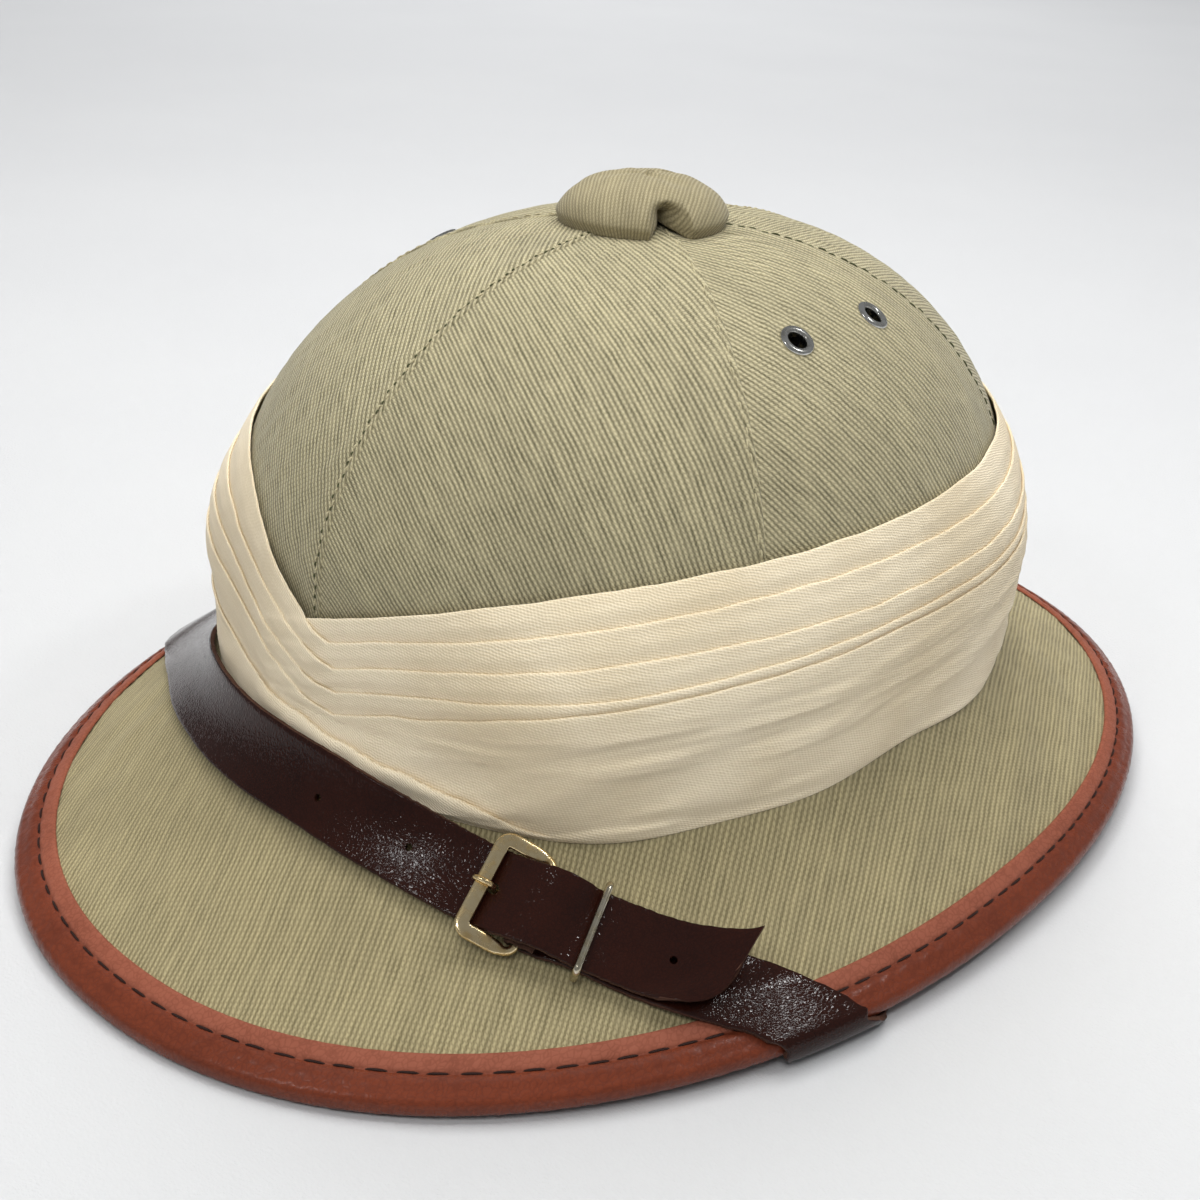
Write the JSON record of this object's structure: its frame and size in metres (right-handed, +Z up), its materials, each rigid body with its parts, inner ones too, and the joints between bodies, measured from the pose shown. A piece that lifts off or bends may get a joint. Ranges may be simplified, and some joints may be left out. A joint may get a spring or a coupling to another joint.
{
  "type": "pith helmet",
  "caption": "Hollow domed pith helmet in khaki twill with an oval sloping brim, pleated cream cloth band, ventilator cap, leather bound rim and buckled leather chin strap.",
  "frame": {"origin": "under the middle of the hat, at the height of the surface it rests on", "axes": "+Z up out of the crown, -Y to the front of the hat, +X to the wearer's left"},
  "size_m": [0.2691, 0.3606, 0.1648],
  "materials": {
    "khaki_twill": "matte ribbed cotton twill",
    "cream_cotton": "matte fine cotton twill in soft pleats",
    "tan_leather": "smooth satin leather with a running stitch",
    "dark_leather": "glossy crackled dark brown leather",
    "nickel": "nickel plate",
    "pale_brass": "pale worn brass plate"
  },
  "bodies": {
    "root": {"crown": "khaki_twill", "brim": "khaki_twill", "rim_binding": "tan_leather", "puggaree": "cream_cotton", "vent_cap": "khaki_twill", "eyelet_left_front": "nickel", "eyelet_left_rear": "nickel", "eyelet_right_front": "nickel", "eyelet_right_rear": "nickel", "chin_strap_long": "dark_leather", "chin_strap_short": "dark_leather", "buckle_frame": "pale_brass", "buckle_prong": "pale_brass", "strap_keeper": "pale_brass", "strap_rivet_left": "nickel", "strap_rivet_right": "nickel"}
  },
  "joints": []
}
